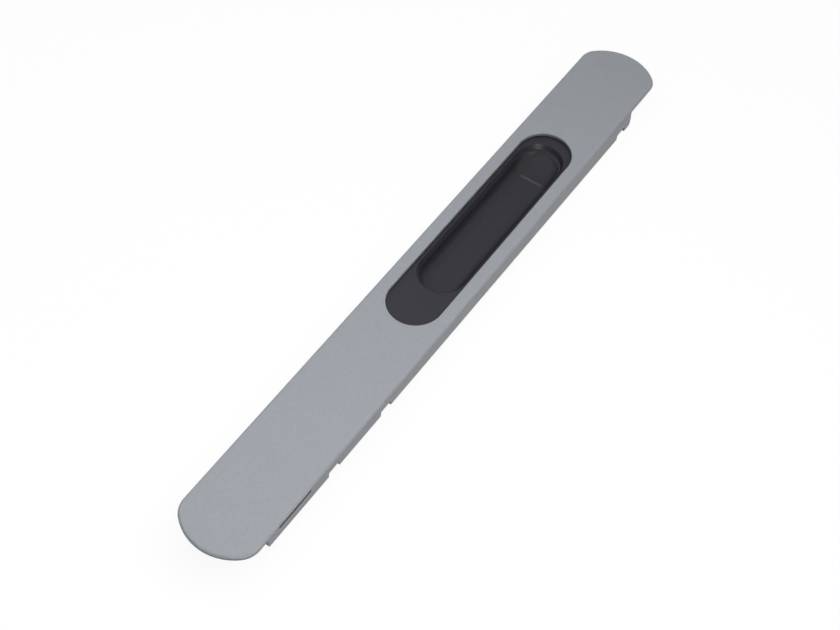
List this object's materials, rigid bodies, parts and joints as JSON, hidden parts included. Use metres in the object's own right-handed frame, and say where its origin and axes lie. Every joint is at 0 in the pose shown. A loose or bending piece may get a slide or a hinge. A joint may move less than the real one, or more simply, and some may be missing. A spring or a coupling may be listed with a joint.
{
  "type": "recessed handle",
  "caption": "Long flush handle plate with side skirts and an oval opening, behind which a finger cup slides lengthways and carries a drive pin at the back.",
  "frame": {"origin": "centre of the handle's outline, at the level of the drive pin's tip", "axes": "+X along the handle towards its deep end, +Z out of the face towards the hand"},
  "size_m": [0.236, 0.028, 0.013],
  "materials": {
    "painted_grey": "satin",
    "black_slide": "satin",
    "black_tray": "matte",
    "steel": "satin",
    "spring_steel": "satin",
    "insert_metal": "satin",
    "screw_metal": "satin"
  },
  "bodies": {
    "housing": {"cover_plate": "painted_grey", "guide_tray": "black_tray", "click_spring": "spring_steel", "insert_near": "insert_metal", "insert_far": "insert_metal", "tray_screw_left": "screw_metal", "tray_screw_right": "screw_metal"},
    "slide": {"finger_slide": "black_slide", "drive_strip": "steel", "drive_pin": "steel"}
  },
  "joints": [
    {"name": "cup_slide", "type": "slide", "parent": "housing", "child": "slide", "axis": [1, 0, 0], "range_m": [-0.012, 0], "deforming": ["click_spring"]}
  ]
}
